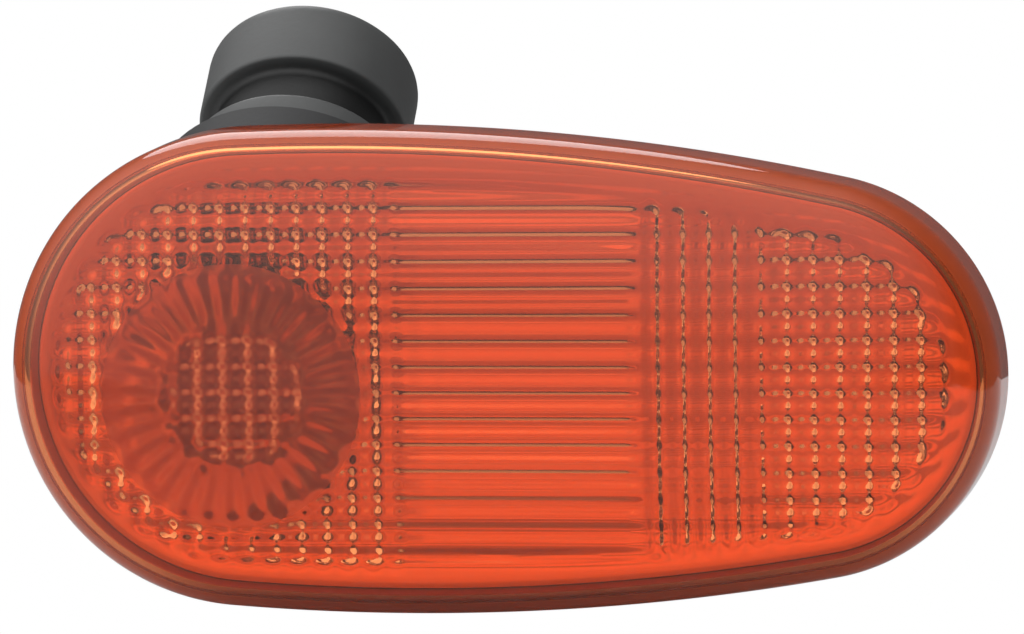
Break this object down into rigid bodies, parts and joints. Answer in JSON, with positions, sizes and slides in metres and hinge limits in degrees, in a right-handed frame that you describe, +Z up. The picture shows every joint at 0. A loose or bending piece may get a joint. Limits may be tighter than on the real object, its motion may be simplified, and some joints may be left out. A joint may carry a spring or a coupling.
{
  "type": "vehicle side indicator lamp",
  "caption": "Egg-shaped amber side indicator lamp for a vehicle: ribbed lens, black rear housing with panel gasket and spring clip, and a canted twist-lock holder for a wedge bulb.",
  "frame": {"origin": "centre of the lens outline on the rear face of the panel gasket, the plane that meets the vehicle's panel", "axes": "+X along the lamp from the big end to the small end, +Y into the vehicle, +Z up; the lens faces -Y"},
  "size_m": [0.0964, 0.0555, 0.0557],
  "materials": {
    "lens": "clear amber moulding, gloss",
    "housing": "black moulding, satin",
    "reflector": "metallised",
    "gasket": "soft matt rubber",
    "clip": "spring steel",
    "holder": "dark grey moulding, satin",
    "seal": "soft matt rubber",
    "contact": "tinned",
    "bulb": "clear",
    "wire": "drawn wire"
  },
  "bodies": {
    "lamp_body": {"lens": "lens", "housing": "housing", "reflector": "reflector", "panel_gasket": "gasket", "retaining_clip": "clip"},
    "holder_body": {"bulb_holder": "holder", "holder_seal": "seal", "contact_left": "contact", "contact_right": "contact", "bulb_glass": "bulb", "bulb_filament": "wire", "bulb_lead_left": "wire", "bulb_lead_right": "wire"}
  },
  "joints": [
    {"name": "holder_twist", "type": "hinge", "parent": "lamp_body", "child": "holder_body", "pos_m": [-0.02595, 0, -0.0022], "axis": [0, 0.7934, 0.6088], "range_deg": [0, 45]}
  ]
}
